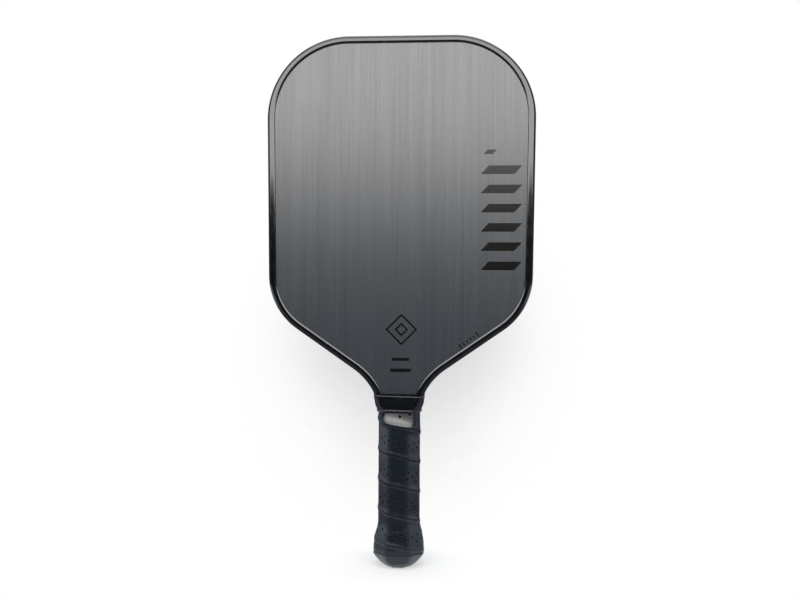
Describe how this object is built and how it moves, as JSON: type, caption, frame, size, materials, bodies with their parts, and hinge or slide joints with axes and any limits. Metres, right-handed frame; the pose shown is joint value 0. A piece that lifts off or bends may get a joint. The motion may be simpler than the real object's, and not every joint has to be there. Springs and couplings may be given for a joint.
{
  "type": "pickleball paddle",
  "caption": "Pickleball paddle: a flat rounded blade with a raised edge guard that narrows to a short eight-sided handle with a spiral perforated grip and a flared butt cap.",
  "frame": {"origin": "centre of the butt end, on its flat end face", "axes": "+Z along the handle towards the tip of the blade, +X to the right seen from the front; the front hitting face looks along -Y"},
  "size_m": [0.2032, 0.0352, 0.4],
  "materials": {
    "carbon_skin": "satin",
    "guard": "gloss",
    "core": "matte",
    "veil": "matte",
    "bond_tape": "matte",
    "pallet": "matte",
    "cap": "satin",
    "staple": "satin",
    "grip": "satin",
    "gloss_tape": "gloss"
  },
  "bodies": {
    "root": {"honeycomb_core": "core", "core_veil_front": "veil", "core_veil_back": "veil", "face_skin_front": "carbon_skin", "face_skin_back": "carbon_skin", "edge_guard_tape": "bond_tape", "edge_guard": "guard", "handle_pallet_front": "pallet", "handle_pallet_back": "pallet", "butt_cap": "cap", "butt_cap_plug": "cap", "butt_cap_staples": "staple", "grip_adhesive": "bond_tape", "grip_wrap": "grip", "finishing_tape": "gloss_tape"}
  },
  "joints": []
}
